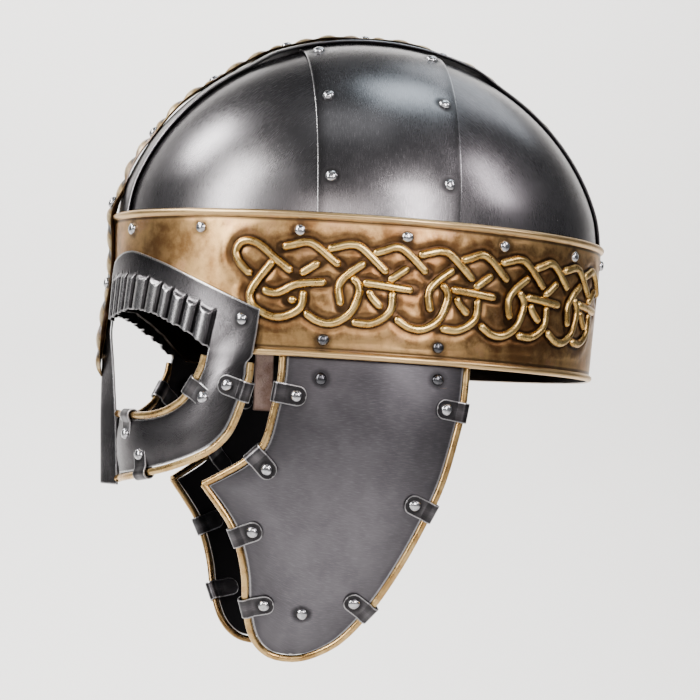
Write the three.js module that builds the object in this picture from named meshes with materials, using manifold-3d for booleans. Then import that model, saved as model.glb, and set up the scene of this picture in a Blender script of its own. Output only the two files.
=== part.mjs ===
// Norse iron helmet with a spectacle face guard and two hanging cheek plates.
// Units are millimetres. +Z is up, the face looks along -Y and the wearer's left is +X.
// The origin is the inside of the crown on the centre line, where the helmet sits on a head.
// Heights inside the functions are measured from the brow band's lower edge.
import * as THREE from 'three';
import { mergeVertices } from 'three/addons/utils/BufferGeometryUtils.js';
import Module from 'manifold-3d';

const wasm = await Module();
wasm.setup();

// ---- driving dimensions ----
const SHEET = 1.2;               // thickness of the iron plates
const GAP = 0.5;                 // room between one layer and the next
const WIDTH_RATIO = 0.87;        // width of the helmet over its length
const CENTRE_Y = 0.5;            // middle of the brow band's ellipse

const BAND = { height: 64, foot: 114.2, head: 116.8, sheet: 1.3, bead: 1.3, segments: 48 };
const DOME = { a: 116.2, b: 100.4, h: 104.6, base: 47.7, y: 1.0, hem: 59, tuckA: 0.03, tuckB: 0.02 };
const LATERAL = { front: -34.9, back: 29.4, under: 12 };
const CREST = { half: 21, lift: 2.3, overLateral: 45, backOnPlates: 62 };
const ROPE = { half: 7.5, thick: 1.5, room: 0.7, tipLength: 16, tipHalf: 1.0, backEnd: 67 };
const EYE = { a: 117.3, rise: 0.016, fall: 0.06, setBack: 5, noseWidth: 35, radius: 111 };
const CHEEK = { width: 96, length: 113, curl: 0.0022 };
const WIRE = { radius: 1.75, room: 0.7, sides: 6 };
const CLIP = { width: 9, leaf: 13, thick: 0.9, leafInside: 1.25, rivet: 8.5 };
const RIVET = { radius: 2.7, height: 2.0, sunk: 0.6, sides: 6 };
// A pair of straps to each cheek plate: their places along the helmet and the heights of their ends.
const STRAP = { width: 9.6, thick: 1.6, top: 14, front: -28.2, frontEnd: -22, back: 24, backEnd: -12 };

const SEAT = DOME.base + DOME.h + CREST.lift;   // inside of the crown above the band's lower edge

// ---- metals and leather ----
const iron = () => new THREE.MeshStandardMaterial({ color: 0x5b5a5e, roughness: 0.38, metalness: 1 });
const brass = () => new THREE.MeshStandardMaterial({ color: 0x9a7440, roughness: 0.34, metalness: 1 });
const wireBrass = () => new THREE.MeshStandardMaterial({ color: 0xc7a264, roughness: 0.3, metalness: 1 });
const clipIron = () => new THREE.MeshStandardMaterial({ color: 0x4b494c, roughness: 0.36, metalness: 1 });
const leather = () => new THREE.MeshStandardMaterial({ color: 0x3c2216, roughness: 0.75, metalness: 0 });

// ---- solids ----
function signedVolume(geometry) {
  const points = geometry.attributes.position;
  const index = geometry.index.array;
  const [a, b, c] = [new THREE.Vector3(), new THREE.Vector3(), new THREE.Vector3()];
  let volume = 0;
  for (let i = 0; i < index.length; i += 3) {
    a.fromBufferAttribute(points, index[i]);
    b.fromBufferAttribute(points, index[i + 1]);
    c.fromBufferAttribute(points, index[i + 2]);
    volume += a.dot(b.cross(c)) / 6;
  }
  return volume;
}

// Keeps positions only, shares the vertices and turns the faces outwards.
function closedBody(geometry) {
  geometry.deleteAttribute('normal');
  geometry.deleteAttribute('uv');
  const body = mergeVertices(geometry, 1e-4);
  if (signedVolume(body) < 0) {
    const index = body.index.array;
    for (let i = 0; i < index.length; i += 3) {
      [index[i], index[i + 1]] = [index[i + 1], index[i]];
    }
  }
  return body;
}

function toManifold(geometry) {
  const body = closedBody(geometry);
  return new wasm.Manifold(new wasm.Mesh({
    numProp: 3,
    vertProperties: new Float32Array(body.attributes.position.array),
    triVerts: new Uint32Array(body.index.array),
  }));
}

function fromManifold(solid) {
  const mesh = solid.getMesh();
  const geometry = new THREE.BufferGeometry();
  geometry.setAttribute('position', new THREE.BufferAttribute(Float32Array.from(mesh.vertProperties), 3));
  geometry.setIndex(new THREE.BufferAttribute(Uint32Array.from(mesh.triVerts), 1));
  return geometry;
}

function joined(first, others) {
  let solid = toManifold(first);
  for (const other of others) {
    solid = solid.add(toManifold(other));
  }
  return fromManifold(solid);
}

function mirrored(geometry) {
  return closedBody(geometry.clone().scale(-1, 1, 1));
}

// A closed sheet over a grid. pointAt(u, v, side) gives the outer face for side 0, the inner for side 1.
function sheet(rows, columns, pointAt) {
  const positions = [];
  const index = [];
  const seen = new Map();
  const vertex = (point) => {
    const key = point.toArray().map((value) => value.toFixed(4)).join();
    if (!seen.has(key)) {
      seen.set(key, positions.length / 3);
      positions.push(...point.toArray());
    }
    return seen.get(key);
  };
  const triangle = (a, b, c) => {
    if (a !== b && b !== c && c !== a) {
      index.push(a, b, c);
    }
  };
  const quad = (a, b, c, d) => {
    triangle(a, b, c);
    triangle(a, c, d);
  };
  const face = [0, 1].map((side) => Array.from({ length: rows + 1 }, (_, i) =>
    Array.from({ length: columns + 1 }, (__, j) => vertex(pointAt(i / rows, j / columns, side)))));
  const [outer, inner] = face;
  for (let i = 0; i < rows; i += 1) {
    for (let j = 0; j < columns; j += 1) {
      quad(outer[i][j], outer[i][j + 1], outer[i + 1][j + 1], outer[i + 1][j]);
      quad(inner[i][j], inner[i + 1][j], inner[i + 1][j + 1], inner[i][j + 1]);
    }
    quad(outer[i][0], outer[i + 1][0], inner[i + 1][0], inner[i][0]);
    quad(outer[i + 1][columns], outer[i][columns], inner[i][columns], inner[i + 1][columns]);
  }
  for (let j = 0; j < columns; j += 1) {
    quad(outer[0][j + 1], outer[0][j], inner[0][j], inner[0][j + 1]);
    quad(outer[rows][j], outer[rows][j + 1], inner[rows][j + 1], inner[rows][j]);
  }
  const geometry = new THREE.BufferGeometry();
  geometry.setAttribute('position', new THREE.Float32BufferAttribute(positions, 3));
  geometry.setIndex(index);
  return closedBody(geometry);
}

// A rivet's domed head, its axis along the given normal.
function rivetHead(point, normal) {
  const { radius, height, sunk, sides } = RIVET;
  const profile = [
    new THREE.Vector2(0, -sunk),
    new THREE.Vector2(radius, -sunk),
    new THREE.Vector2(radius, height * 0.25),
    new THREE.Vector2(radius * 0.7, height * 0.8),
    new THREE.Vector2(0, height),
  ];
  const head = new THREE.LatheGeometry(profile, sides);
  const turn = new THREE.Quaternion().setFromUnitVectors(new THREE.Vector3(0, 1, 0), normal);
  return head.applyQuaternion(turn).translate(point.x, point.y, point.z);
}

// ---- the dome's surface, as directions on a unit sphere that is stretched to the dome ----
function domePoint(direction, lift) {
  const z = DOME.base + DOME.h * direction.z;
  const low = 1 - THREE.MathUtils.smoothstep(z, 58, 80);
  const normal = new THREE.Vector3(direction.x / DOME.b, direction.y / DOME.a, direction.z / DOME.h).normalize();
  const x = DOME.b * direction.x * (1 - DOME.tuckB * low);
  const y = DOME.y + DOME.a * direction.y * (1 - DOME.tuckA * low);
  return new THREE.Vector3(x, y, z).addScaledVector(normal, lift);
}

const hemZ = (DOME.hem - DOME.base) / DOME.h;

// A direction on the arc where x is fixed, from the crown (angle 0) to the front or the back.
function alongCrest(x, angle) {
  const fixed = x / DOME.b;
  const radius = Math.sqrt(1 - fixed ** 2);
  return new THREE.Vector3(fixed, radius * Math.sin(angle), radius * Math.cos(angle));
}

// A direction on the arc where y is fixed, from the crown (angle 0) down to the side.
function alongLateral(y, angle) {
  const fixed = (y - DOME.y) / DOME.a;
  const radius = Math.sqrt(1 - fixed ** 2);
  return new THREE.Vector3(radius * Math.sin(angle), fixed, radius * Math.cos(angle));
}

const hemAngle = (fixed) => Math.acos(hemZ / Math.sqrt(1 - fixed ** 2));

function domePlate(facing) {
  const x = LATERAL.under;
  const y = facing < 0 ? LATERAL.front + 7 : LATERAL.back - 7;
  const fixedX = x / DOME.b;
  const fixedY = (y - DOME.y) / DOME.a;
  const cornerZ = Math.sqrt(1 - fixedX ** 2 - fixedY ** 2);
  const crestStart = Math.atan2(Math.abs(fixedY), cornerZ);
  const lateralStart = Math.atan2(fixedX, cornerZ);
  return sheet(9, 8, (u, v, side) => {
    const first = alongCrest(x, facing * THREE.MathUtils.lerp(crestStart, hemAngle(fixedX), u));
    const last = alongLateral(y, THREE.MathUtils.lerp(lateralStart, hemAngle(fixedY), u));
    const span = first.angleTo(last);
    const direction = first.clone();
    if (span > 1e-6) {
      direction.multiplyScalar(Math.sin((1 - v) * span)).addScaledVector(last, Math.sin(v * span));
      direction.divideScalar(Math.sin(span));
    }
    return domePoint(direction, -SHEET * side);
  });
}

function lateralBand() {
  const lift = GAP + SHEET;
  const arc = (y, u) => {
    const fixed = (y - DOME.y) / DOME.a;
    const start = Math.asin(LATERAL.under / DOME.b / Math.sqrt(1 - fixed ** 2));
    return alongLateral(y, THREE.MathUtils.lerp(start, hemAngle(fixed), u));
  };
  const band = sheet(12, 6, (u, v, side) =>
    domePoint(arc(THREE.MathUtils.lerp(LATERAL.front, LATERAL.back, v), u), lift - SHEET * side));
  const rivets = [];
  for (const y of [LATERAL.front + 6, LATERAL.back - 6]) {
    for (const height of [80, 118, 143]) {
      const fixed = (y - DOME.y) / DOME.a;
      const angle = Math.acos((height - DOME.base) / DOME.h / Math.sqrt(1 - fixed ** 2));
      const point = domePoint(alongLateral(y, angle), lift);
      const under = domePoint(alongLateral(y, angle), 0);
      rivets.push(rivetHead(point, point.clone().sub(under).normalize()));
    }
  }
  return joined(band, rivets);
}

// The crest band passes over the lateral bands at the crown and lies on the dome plates beyond them.
function crestLift(direction) {
  const away = Math.abs(DOME.a * direction.y);
  const { overLateral, backOnPlates, lift } = CREST;
  return THREE.MathUtils.lerp(lift, GAP, THREE.MathUtils.smoothstep(away, overLateral, backOnPlates));
}

function crestBand() {
  return sheet(26, 4, (u, v, side) => {
    const x = THREE.MathUtils.lerp(-CREST.half, CREST.half, v);
    const reach = hemAngle(x / DOME.b);
    const direction = alongCrest(x, THREE.MathUtils.lerp(-reach, reach, u));
    return domePoint(direction, crestLift(direction) + SHEET * (1 - side));
  });
}

// ---- the brass rope strip ----
// Its middle line runs from the free tip up the front, over the crown and down to the back.
function ropeLine() {
  const front = [[-117.6, -12], [-119.2, -3], [-119.2, 9], [-118.2, 20], [-117.0, 30], [-116.8, 42],
    [-117.5, 54], [-118.4, 62], [-117.1, 69]];
  const points = front.map(([y, z]) => new THREE.Vector3(0, y, z));
  const start = Math.acos((76 - DOME.base) / DOME.h);
  const end = Math.acos((ROPE.backEnd - DOME.base) / DOME.h);
  const steps = 18;
  for (let i = 0; i <= steps; i += 1) {
    const direction = alongCrest(0, THREE.MathUtils.lerp(-start, end, i / steps));
    points.push(domePoint(direction, crestLift(direction) + SHEET + ROPE.room));
  }
  return new THREE.CatmullRomCurve3(points, false, 'centripetal');
}

function ropeStrip() {
  const line = ropeLine();
  const length = line.getLength();
  const across = new THREE.Vector3(1, 0, 0);
  const outward = (u) => line.getTangentAt(u).cross(across).negate();
  const strip = sheet(34, 1, (u, v, side) => {
    const half = THREE.MathUtils.mapLinear(u * length, 0, ROPE.tipLength, ROPE.tipHalf, ROPE.half);
    const reach = Math.min(half, ROPE.half) * (2 * v - 1);
    return line.getPointAt(u).addScaledVector(outward(u), ROPE.thick * (1 - side)).addScaledVector(across, reach);
  });
  const rivets = [];
  for (let at = 44; at < length; at += 38.4) {
    const u = at / length;
    rivets.push(rivetHead(line.getPointAt(u).addScaledVector(outward(u), ROPE.thick), outward(u)));
  }
  return joined(strip, rivets);
}

// ---- the brow band ----
const bandA = (z) => THREE.MathUtils.lerp(BAND.foot, BAND.head, z / BAND.height);

// A point on the brow band's outer face; angle 0 is the front and a right angle is the wearer's left.
function bandPoint(angle, z, lift) {
  const a = bandA(z) + lift;
  const b = bandA(z) * WIDTH_RATIO + lift;
  return new THREE.Vector3(b * Math.sin(angle), CENTRE_Y - a * Math.cos(angle), z);
}

// The angle at a distance along the band from the front.
function bandAngle(distance) {
  const step = 0.002;
  let angle = 0;
  for (let run = 0; run < distance; angle += step) {
    run += bandPoint(angle + step, BAND.height / 2, 0).distanceTo(bandPoint(angle, BAND.height / 2, 0));
  }
  return angle;
}

// In front the band is cut away over the eyes: the height of its lower edge at a distance from the nose.
const eyeArch = [[0, 20], [58, 21], [73, 16.5], [84, 11.5], [94, 4.5], [101, 0]];

function bandFoot(distance) {
  const next = eyeArch.findIndex(([at]) => at > distance);
  if (next < 0) {
    return 0;
  }
  const [[from, low], [to, high]] = [eyeArch[next - 1], eyeArch[next]];
  return THREE.MathUtils.mapLinear(distance, from, to, low, high);
}

function browBand() {
  const top = BAND.height;
  const { bead, sheet: thick } = BAND;
  const beadArc = [[0, 0], [1, 0.28], [1, 0.72], [0, 1]].map(([out, up]) => [out * bead, up * 3]);
  const profile = [[-thick, 0.3], ...beadArc, ...beadArc.map(([out, up]) => [out, top - 3 + up]), [-thick, top - 0.3]];
  const ring = new THREE.BufferGeometry();
  const positions = [];
  const index = [];
  const count = profile.length;
  for (let i = 0; i < BAND.segments; i += 1) {
    const angle = (2 * Math.PI * i) / BAND.segments;
    const foot = bandFoot(Math.min(angle, 2 * Math.PI - angle) * EYE.radius);
    for (let j = 0; j < count; j += 1) {
      const [out, height] = profile[j];
      const z = height < top / 2 ? height + foot : height;
      positions.push(...bandPoint(angle, z, foot > 0 ? Math.min(out, 0) : out).toArray());
      const [a, b] = [i * count + j, i * count + ((j + 1) % count)];
      const next = ((i + 1) % BAND.segments) * count;
      const [c, d] = [next + ((j + 1) % count), next + j];
      index.push(a, b, c, a, c, d);
    }
  }
  ring.setAttribute('position', new THREE.Float32BufferAttribute(positions, 3));
  ring.setIndex(index);
  const rivets = [];
  const addRivet = (distance, z) => {
    for (const side of [-1, 1]) {
      const angle = side * bandAngle(distance);
      const point = bandPoint(angle, z, 0);
      rivets.push(rivetHead(point, bandPoint(angle, z, 1).sub(point).normalize()));
    }
  };
  for (let distance = 33; distance < 320; distance += 47.1) {
    addRivet(distance, 55.5);
  }
  addRivet(140, 8);
  addRivet(192, 8);
  return joined(ring, rivets);
}

// ---- the face guard's surface ----
// s runs round the face from the nose (0) to the wearer's left; z is the height.
function facePoint(s, z) {
  const a = EYE.a + z * (z > 0 ? EYE.rise : EYE.fall);
  const angle = s / EYE.radius;
  const x = a * WIDTH_RATIO * Math.sin(angle);
  const setBack = EYE.setBack * Math.exp(-((x / EYE.noseWidth) ** 2)) * (1 - THREE.MathUtils.smoothstep(z, -6, 12));
  return new THREE.Vector3(x, CENTRE_Y - a * Math.cos(angle) + setBack, z);
}

// The cheek plate's surface; it hangs from the side of the band and curls in towards the jaw.
function cheekPoint(y, z) {
  const width = CHEEK.width - CHEEK.curl * z ** 2;
  return new THREE.Vector3(width * Math.sqrt(1 - ((y - CENTRE_Y) / CHEEK.length) ** 2), y, z);
}

// The outward normal of either surface.
function surfaceNormal(surface, p, z) {
  const step = 0.5;
  const along = surface(p + step, z).sub(surface(p - step, z));
  const up = surface(p, z + step).sub(surface(p, z - step));
  const normal = along.cross(up).normalize();
  return normal.x < 0 ? normal.negate() : normal;
}

function offSurface(surface, p, z, lift) {
  return surface(p, z).addScaledVector(surfaceNormal(surface, p, z), lift);
}

// ---- outlines on those surfaces ----
const flatCurve = (points) => new THREE.SplineCurve(points.map(([p, z]) => new THREE.Vector2(p, z)));

// The same line set to its left-hand side by a distance.
function shifted(points, distance) {
  return points.map(([p, z], i) => {
    const before = points[Math.max(i - 1, 0)];
    const after = points[Math.min(i + 1, points.length - 1)];
    const along = new THREE.Vector2(after[0] - before[0], after[1] - before[1]).normalize();
    return [p - along.y * distance, z + along.x * distance];
  });
}

const browLower = [[15, 13.5], [28, 16.3], [43, 18.5], [53, 17.7], [63.5, 15.9], [72, 12.8], [80, 9.8],
  [87, 6.3], [94.5, 1.5]];
const browUpper = [[15, 34], [19, 40.5], [28, 44], [38, 45.2], [47, 44.2], [66.5, 39.2], [84, 33], [99, 27.2],
  [118, 19.8]];
const innerWireLine = [[92.4, -1.5], [90.3, -8], [83.1, -19.3], [76.5, -24.2], [67.2, -27.7], [53.5, -29.5],
  [31, -29.5], [17.5, -29]];
const outerWireLine = [[115, -3.8], [114.4, -11], [112, -20], [106.5, -33.7], [98.8, -41.9], [89, -47],
  [78.5, -50.6], [68.2, -53.2], [52.7, -55.8], [36, -57.6], [17.5, -59]];
const cheekFront = [[-45, 2], [-45.2, -10], [-47, -23], [-50.4, -39.5], [-57.7, -47.5], [-65.3, -53],
  [-73.9, -58.7]];
const cheekLower = [[-73.9, -58.7], [-66.5, -68], [-60.2, -77], [-55.6, -88], [-52.6, -99], [-50.6, -112],
  [-46.2, -125.5], [-38.5, -133.3], [-28, -135.3], [-18, -132.8], [-6.5, -125], [5, -109.5], [15, -90.5],
  [23.4, -71], [30, -53], [34.4, -33], [37, -17], [37.8, 2]];

const edgeRoom = WIRE.radius + WIRE.room;

function ocular() {
  const upperArm = [flatCurve(browLower), flatCurve(browUpper)];
  const lowerInner = [browLower.at(-1), ...shifted(innerWireLine, edgeRoom).slice(1, -1), [9.5, -30.6]];
  const lowerOuter = [browUpper.at(-1), [116.8, 6], [112.2, -1.5],
    ...shifted(outerWireLine, -edgeRoom).slice(1, -1), [9.5, -57]];
  const lowerArm = [flatCurve(lowerInner), flatCurve(lowerOuter)];
  const browShare = 0.42;
  const plate = sheet(26, 3, (u, v, side) => {
    const [inside, outside] = u < browShare ? upperArm : lowerArm;
    const t = u < browShare ? u / browShare : (u - browShare) / (1 - browShare);
    const at = inside.getPointAt(Math.min(t, 1)).lerp(outside.getPointAt(Math.min(t, 1)), v);
    return offSurface(facePoint, at.x, at.y, -SHEET * side);
  });
  const at = [110, 15.2];
  return joined(plate, [rivetHead(offSurface(facePoint, ...at, 0), surfaceNormal(facePoint, ...at))]);
}

// ---- the nose guard ----
function noseGuard() {
  // height, half width, edge and ridge of the V from the top down
  const sections = [[26, 9, -116.0, -116.3], [15, 9, -116.0, -117.0], [7, 11.4, -116.0, -118.0],
    [-6, 12, -114.8, -117.4], [-18, 12.5, -113.4, -117.0], [-32, 13, -112.2, -116.4], [-47, 13.5, -111.2, -115.4],
    [-62, 14, -110.2, -114.4]];
  return sheet(sections.length - 1, 4, (u, v, side) => {
    const [z, half, edge, ridge] = sections[Math.round(u * (sections.length - 1))];
    const across = 2 * v - 1;
    return new THREE.Vector3(half * across, THREE.MathUtils.lerp(ridge, edge, Math.abs(across)) + SHEET * side, z);
  });
}

// ---- edge wires ----
const wireSection = new THREE.Shape().absarc(0, 0, WIRE.radius, 0, 2 * Math.PI);

// A line on a surface, at the middle of the sheet's thickness.
function onSheet(surface, line, samples) {
  return line.getSpacedPoints(samples).map((at) => offSurface(surface, at.x, at.y, -SHEET / 2));
}

function rod(points, steps) {
  const curve = new THREE.CatmullRomCurve3(points, false, 'centripetal');
  return new THREE.ExtrudeGeometry(wireSection, {
    steps,
    curveSegments: WIRE.sides / 2,
    bevelEnabled: false,
    extrudePath: curve,
  });
}

function ocularWire(points, steps) {
  return closedBody(rod(onSheet(facePoint, flatCurve(points), 3 * steps), steps));
}

// The cheek wire is two lengths mitred at the front point.
function cheekWire() {
  const upper = onSheet(cheekPoint, flatCurve(cheekFront), 30);
  const lower = onSheet(cheekPoint, flatCurve(cheekLower), 90);
  const corner = upper.at(-1);
  const knuckle = new THREE.SphereGeometry(WIRE.radius, WIRE.sides, 3).translate(corner.x, corner.y, corner.z);
  return joined(rod(upper, 12), [rod(lower, 30), knuckle]);
}

// ---- clips ----
// The section of a clip: two leaves on either face of the plate and a fold round the wire.
function clipSection() {
  const { leaf, thick, leafInside } = CLIP;
  const fold = WIRE.radius + 0.6;
  const inside = [[leaf, leafInside], [fold + 1, leafInside], [fold * 0.6, fold * 0.95], [-fold * 0.45, fold],
    [-fold, fold * 0.42]];
  const out = fold + thick;
  const outside = [[leaf, leafInside + thick], [fold + 1.5, leafInside + thick], [out * 0.5, out],
    [-out * 0.55, out * 0.9], [-out, out * 0.4]];
  const mirror = (points) => points.map(([d, n]) => [d, -n]).reverse();
  const ring = [...outside, ...mirror(outside), ...mirror(inside).reverse(), ...[...inside].reverse()];
  return new THREE.Shape(ring.map(([d, n]) => new THREE.Vector2(d, n)));
}

const clipFootprint = new THREE.Shape([[-5, -4.5], [9.5, -4.5], [12.6, -2], [12.6, 2], [9.5, 4.5], [-5, 4.5]]
  .map(([d, w]) => new THREE.Vector2(d, w)));

// A clip at a distance along a wire's line, its leaves reaching to the given side of that line.
function clip(surface, points, distance, side) {
  const line = flatCurve(points);
  const u = distance / line.getLength();
  const at = line.getPointAt(u);
  const along = line.getTangentAt(u);
  const toPlate = new THREE.Vector2(-along.y, along.x).multiplyScalar(side);
  const middle = CLIP.rivet / 2;
  const normal = surfaceNormal(surface, at.x + toPlate.x * middle, at.y + toPlate.y * middle);
  const start = offSurface(surface, at.x, at.y, -SHEET / 2);
  const reach = offSurface(surface, at.x + toPlate.x * CLIP.leaf, at.y + toPlate.y * CLIP.leaf, -SHEET / 2);
  const inward = reach.sub(start).projectOnPlane(normal).normalize();
  const frame = new THREE.Matrix4().makeBasis(inward, normal, inward.clone().cross(normal)).setPosition(start);
  const body = new THREE.ExtrudeGeometry(clipSection(), { depth: CLIP.width, bevelEnabled: false });
  body.translate(0, 0, -CLIP.width / 2);
  const footprint = new THREE.ExtrudeGeometry(clipFootprint, { depth: 10, bevelEnabled: false });
  footprint.translate(0, 0, -5).rotateX(Math.PI / 2);
  const head = rivetHead(new THREE.Vector3(CLIP.rivet, CLIP.leafInside + CLIP.thick, 0), new THREE.Vector3(0, 1, 0));
  const solid = toManifold(body).intersect(toManifold(footprint)).add(toManifold(head));
  return fromManifold(solid).applyMatrix4(frame);
}

// ---- cheek plates and their straps ----
function cheekPlate() {
  const shrink = (points) => shifted(points, edgeRoom);
  const front = shrink(cheekFront);
  const around = shrink(cheekLower);
  const tip = [-70.7, -59.2];
  const lowest = 8;
  const frontLine = flatCurve([...front.slice(0, -1), tip]);
  const jawLine = flatCurve([tip, ...around.slice(1, lowest + 1)]);
  const backLine = flatCurve([...around.slice(lowest)].reverse());
  const tipShare = frontLine.getLength() / (frontLine.getLength() + jawLine.getLength());
  const plate = sheet(16, 6, (u, v, side) => {
    const fore = u <= tipShare ? frontLine.getPointAt(u / tipShare)
      : jawLine.getPointAt(Math.min((u - tipShare) / (1 - tipShare), 1));
    const aft = backLine.getPointAt(u);
    const at = fore.lerp(aft, v);
    return offSurface(cheekPoint, at.x, at.y, -SHEET * side);
  });
  const rivets = [[STRAP.front, -9], [STRAP.back, -6], [-25.6, -114]].map((at) =>
    rivetHead(offSurface(cheekPoint, ...at, 0), surfaceNormal(cheekPoint, ...at)));
  return joined(plate, rivets);
}

// A strap lies on the inner faces of the cheek plate and of the brow band, with a bend between them.
function strap(y, end) {
  const reachIn = -SHEET - GAP;
  const plateFace = offSurface(cheekPoint, y, -4, reachIn);
  const normal = surfaceNormal(cheekPoint, y, -4).setZ(0).normalize();
  const radial = (point) => point.sub(plateFace).dot(normal);
  const bandFace = (z) => radial(bandPoint(Math.asin(cheekPoint(y, 0).x / (bandA(0) * WIDTH_RATIO)), z, 0))
    - BAND.sheet - GAP;
  const sheetFace = (z) => radial(offSurface(cheekPoint, y, z, reachIn));
  const line = [[sheetFace(end), end], [sheetFace(-9), -9], [0, -4], [0, 2.5],
    [bandFace(7), 7], [bandFace(STRAP.top), STRAP.top]];
  const inside = line.map(([r, z]) => [r - STRAP.thick, z]).reverse();
  const outline = new THREE.Shape([...line, ...inside].map(([r, z]) => new THREE.Vector2(r, z)));
  const body = new THREE.ExtrudeGeometry(outline, { depth: STRAP.width, bevelEnabled: false });
  body.translate(0, 0, -STRAP.width / 2);
  const up = new THREE.Vector3(0, 0, 1);
  const foot = plateFace.clone().setZ(0);
  body.applyMatrix4(new THREE.Matrix4().makeBasis(normal, up, normal.clone().cross(up)).setPosition(foot));
  return closedBody(body);
}

// ---- the helmet ----
const helmet = new THREE.Group();
helmet.position.z = -SEAT;

function add(name, geometry, material) {
  const mesh = new THREE.Mesh(geometry, material);
  mesh.name = name;
  helmet.add(mesh);
}

// The wearer's left piece and its mirror image on the right.
function addPair(name, geometry, material, suffix = '') {
  add(`${name}_left${suffix}`, geometry, material());
  add(`${name}_right${suffix}`, mirrored(geometry), material());
}

addPair('dome_plate_front', domePlate(-1), iron);
addPair('dome_plate_back', domePlate(1), iron);
addPair('lateral_band', lateralBand(), iron);
add('crest_band', crestBand(), iron());
add('crest_rope_strip', ropeStrip(), brass());
add('brow_band', browBand(), brass());
addPair('ocular', ocular(), iron);
add('nose_guard', noseGuard(), iron());
addPair('ocular_inner_wire', ocularWire(innerWireLine, 12), wireBrass);
addPair('ocular_outer_wire', ocularWire(outerWireLine, 16), wireBrass);

const ocularClips = [[innerWireLine, 15.5, 1], [innerWireLine, 68, 1], [outerWireLine, 13, -1],
  [outerWireLine, 90, -1]];
ocularClips.forEach(([line, distance, side], i) => {
  addPair('ocular_clip', clip(facePoint, line, distance, side), clipIron, `_${i + 1}`);
});

addPair('cheek_plate', cheekPlate(), iron);
addPair('cheek_wire', cheekWire(), wireBrass);

const cheekClips = [[cheekFront, 18], [cheekFront, 47.5], [cheekLower, 27.5], [cheekLower, 60], [cheekLower, 136.5],
  [cheekLower, 188.5], [cheekLower, 235]];
cheekClips.forEach(([line, distance], i) => {
  addPair('cheek_clip', clip(cheekPoint, line, distance, 1), clipIron, `_${i + 1}`);
});

addPair('cheek_strap', strap(STRAP.front, STRAP.frontEnd), leather, '_front');
addPair('cheek_strap', strap(STRAP.back, STRAP.backEnd), leather, '_back');

export default helmet;
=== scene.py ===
"""A riveted iron helmet with a brass brow band, held up in the air in a plain studio."""

import math
import random
from types import SimpleNamespace as Sizes

import bmesh
import bpy
import numpy as np
from mathutils import Matrix, Vector


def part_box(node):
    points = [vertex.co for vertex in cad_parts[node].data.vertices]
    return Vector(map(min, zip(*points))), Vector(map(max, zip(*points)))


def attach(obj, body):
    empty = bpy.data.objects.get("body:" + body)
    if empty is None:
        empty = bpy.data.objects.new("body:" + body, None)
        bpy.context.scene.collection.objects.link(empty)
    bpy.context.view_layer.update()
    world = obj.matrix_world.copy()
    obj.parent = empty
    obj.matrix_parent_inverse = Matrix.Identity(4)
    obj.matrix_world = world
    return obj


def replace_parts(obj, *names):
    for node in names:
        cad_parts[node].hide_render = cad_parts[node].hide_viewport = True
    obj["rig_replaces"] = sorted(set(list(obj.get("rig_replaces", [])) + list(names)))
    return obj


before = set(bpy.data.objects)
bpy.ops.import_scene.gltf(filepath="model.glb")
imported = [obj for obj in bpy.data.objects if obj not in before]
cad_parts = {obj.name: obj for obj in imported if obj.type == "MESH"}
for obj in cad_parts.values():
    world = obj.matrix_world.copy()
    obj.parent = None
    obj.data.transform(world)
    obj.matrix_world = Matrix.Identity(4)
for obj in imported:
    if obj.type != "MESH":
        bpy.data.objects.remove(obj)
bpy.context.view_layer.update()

# ---- Camera ----
# A long lens a little below the brow, looking at the wearer's left side. The helmet is held
# slightly nose-down, so the camera is rolled by the same small angle.
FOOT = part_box("brow_band")[0].z          # the brow band's lower edge: heights are measured from it
AIM = Vector((0, -0.00002, FOOT + 0.0084))
AZIMUTH, ELEVATION, ROLL = (math.radians(angle) for angle in (80.22, -2.36, 3.59))
STAND_OFF = 1.2477

back = Vector((math.sin(AZIMUTH) * math.cos(ELEVATION), -math.cos(AZIMUTH) * math.cos(ELEVATION),
               math.sin(ELEVATION)))
level = (-back).cross(Vector((0, 0, 1))).normalized()
upright = level.cross(-back)
across = level * math.cos(ROLL) + upright * math.sin(ROLL)
over = upright * math.cos(ROLL) - level * math.sin(ROLL)
put_in_scene = bpy.context.scene.collection.objects.link
camera = bpy.data.objects.new("camera", bpy.data.cameras.new("camera"))
camera.data.sensor_width = 36
camera.data.lens = 134.74
camera.data.clip_start, camera.data.clip_end = 0.05, 40
camera.matrix_world = (Matrix.Translation(AIM + back * STAND_OFF)
                       @ Matrix((across, over, back)).transposed().to_4x4())
put_in_scene(camera)
bpy.context.scene.camera = camera


# ---- Studio ----
# A pale paper floor that curves up into a backdrop well behind the helmet. Soft boxes stand before
# the face, beside it and behind it; cool ones hang overhead, and one lights the backdrop.
class Link:
    """A shader socket that can be used in sums like a number."""

    tree = None

    def __init__(self, socket):
        self.socket = socket

    @classmethod
    def node(cls, kind, settings=None, sockets=None, out=0):
        made = cls.tree.nodes.new(kind)
        for name, value in (settings or {}).items():
            setattr(made, name, value)
        for name, value in (sockets or {}).items():
            if isinstance(value, Link):
                cls.tree.links.new(value.socket, made.inputs[name])
            else:
                made.inputs[name].default_value = value
        return cls(made.outputs[out])

    def sum(self, operation, first, second):
        return Link.node("ShaderNodeMath", {"operation": operation}, {0: first, 1: second})

    def __add__(self, other):
        return self.sum("ADD", self, other)

    __radd__ = __add__

    def __mul__(self, other):
        return self.sum("MULTIPLY", self, other)

    __rmul__ = __mul__

    def __sub__(self, other):
        return self.sum("SUBTRACT", self, other)

    def __rsub__(self, other):
        return self.sum("SUBTRACT", other, self)


def ramped(value, low, high):
    """0 below low, 1 above high and smooth between; low may be the larger one."""
    if low > high:
        return 1 - ramped(value, high, low)
    return Link.node("ShaderNodeMapRange", {"interpolation_type": "SMOOTHSTEP"},
                     {"Value": value, "From Min": low, "From Max": high})


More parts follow.
